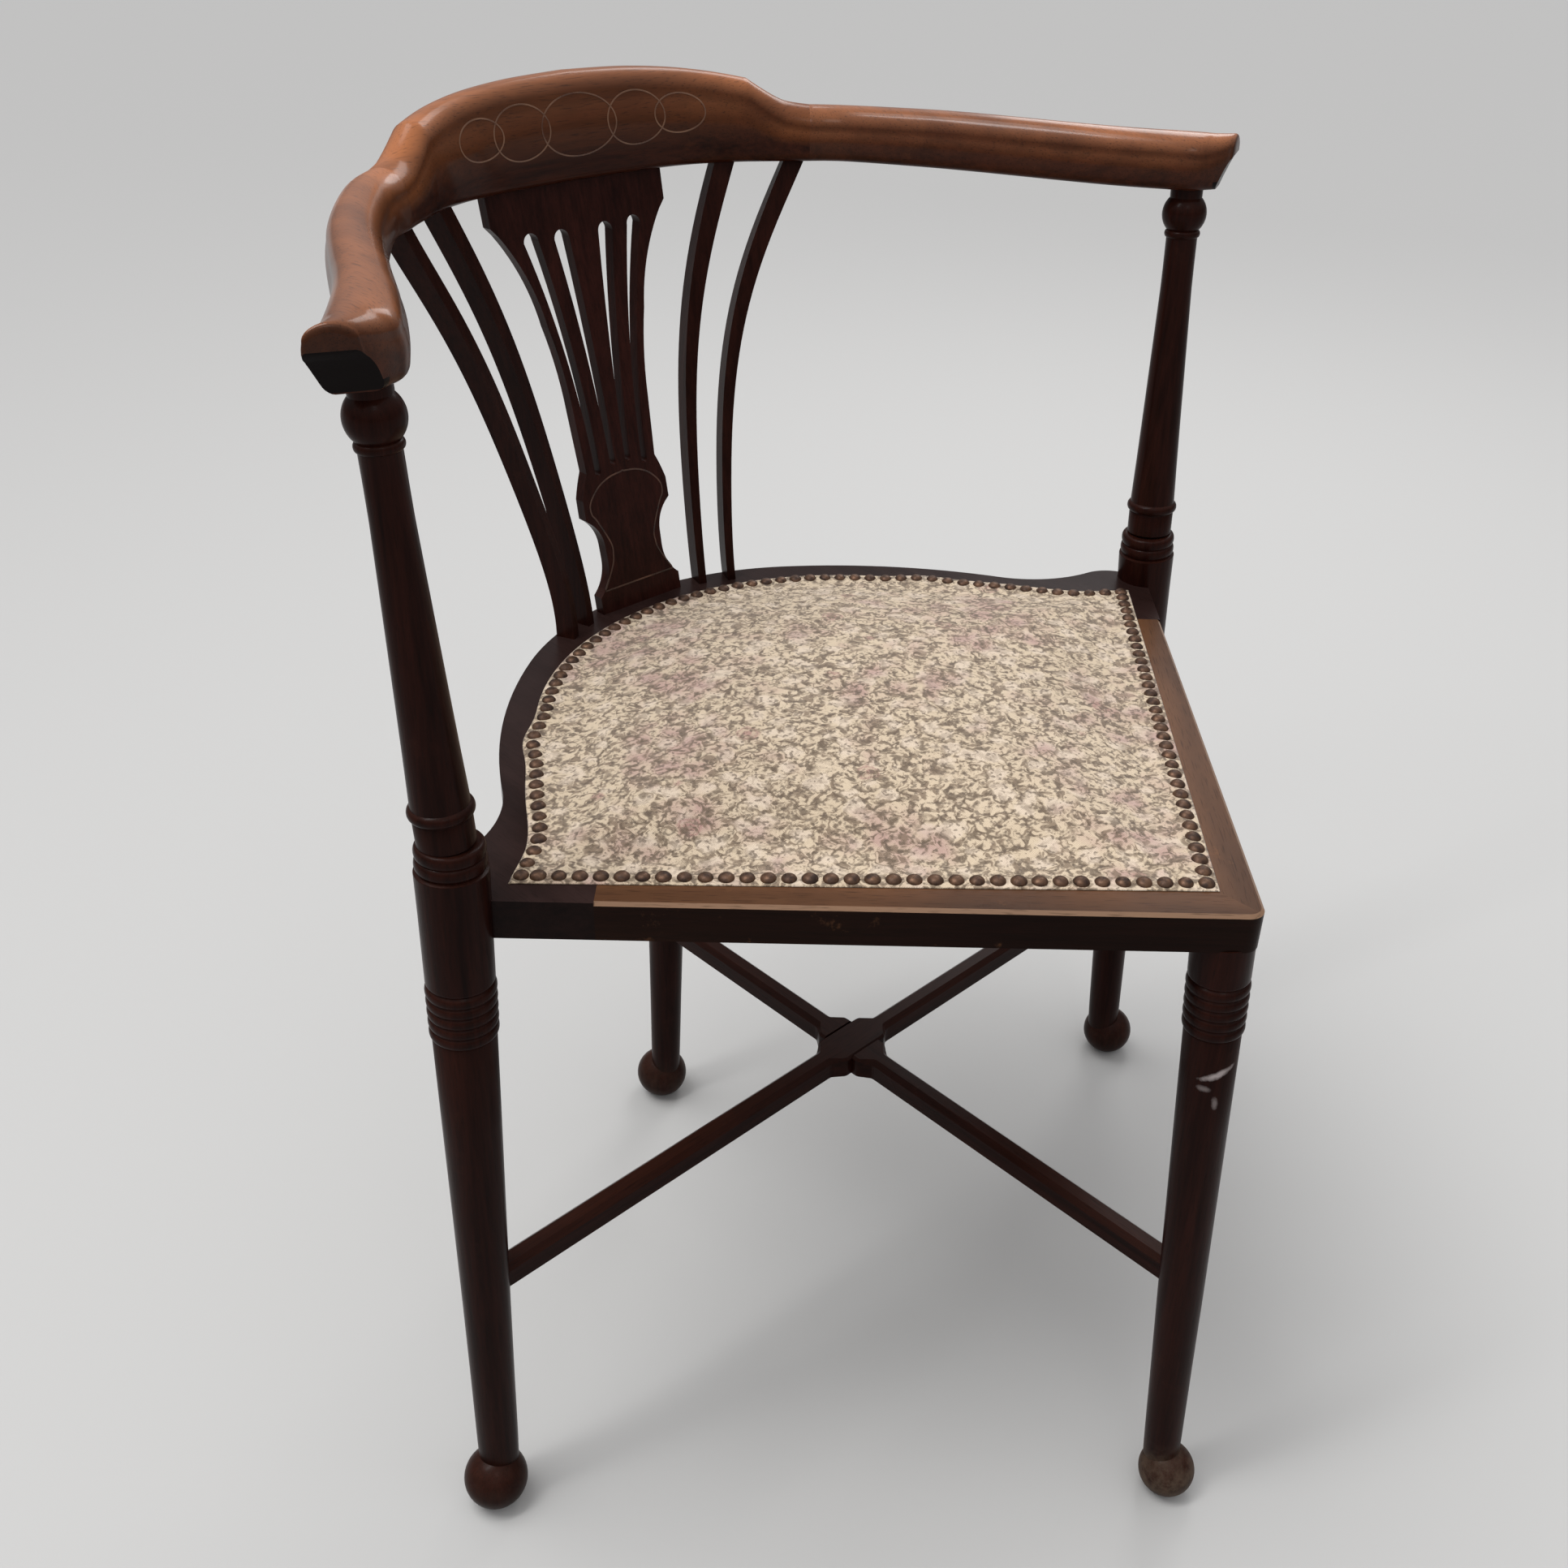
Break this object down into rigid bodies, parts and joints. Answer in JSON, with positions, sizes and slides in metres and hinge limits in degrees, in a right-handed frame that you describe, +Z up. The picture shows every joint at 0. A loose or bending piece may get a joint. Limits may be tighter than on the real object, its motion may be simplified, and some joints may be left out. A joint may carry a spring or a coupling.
{
  "type": "corner chair",
  "caption": "Corner chair with turned legs and arm posts, a shaped crest rail and arms, a pierced inlaid splat, bent spindles, a close-nailed padded seat and a cross stretcher.",
  "frame": {"origin": "On the floor, under the middle of the box round the whole chair, between the side feet.", "axes": "+Z up; +Y from the front corner leg to the back leg under the splat; +X to the side of the sitter's left hand. The chair is a mirror image across X = 0."},
  "size_m": [0.6472, 0.573, 0.7488],
  "materials": {
    "mahogany_dark": "aged red-brown mahogany, near black in the shade, french polish worn to a satin",
    "mahogany_polished": "faded orange-brown mahogany, glossy on top, with a light line inlay on the crest",
    "mahogany_frame": "brown mahogany with worn lighter edges",
    "dowel_beech": "plain beech, glued",
    "tapestry_cover": "cream tapestry weave with small grey-green leaves and dusty pink flowers",
    "stuffing_fibre": "hair and fibre stuffing",
    "hessian_cloth": "open plain-woven hessian",
    "webbing_jute": "woven jute webbing",
    "nail_brass": "antiqued brown brass domed heads"
  },
  "bodies": {
    "root": {"leg_left": "mahogany_dark", "leg_right": "mahogany_dark", "leg_front": "mahogany_dark", "leg_back": "mahogany_dark", "post_left": "mahogany_dark", "post_right": "mahogany_dark", "splat": "mahogany_dark", "spindle_left_outer": "mahogany_dark", "spindle_left_inner": "mahogany_dark", "spindle_right_inner": "mahogany_dark", "spindle_right_outer": "mahogany_dark", "stretcher_side": "mahogany_dark", "stretcher_front_back": "mahogany_dark", "arm_left": "mahogany_polished", "arm_right": "mahogany_polished", "crest_rail": "mahogany_polished", "rail_front_left": "mahogany_frame", "rail_front_right": "mahogany_frame", "rail_back_left": "mahogany_frame", "rail_back_right": "mahogany_frame", "frame_dowels": "dowel_beech", "arm_dowels": "dowel_beech", "seat_cover": "tapestry_cover", "seat_stuffing": "stuffing_fibre", "hessian": "hessian_cloth", "webbing": "webbing_jute", "upholstery_nails": "nail_brass"}
  },
  "joints": []
}
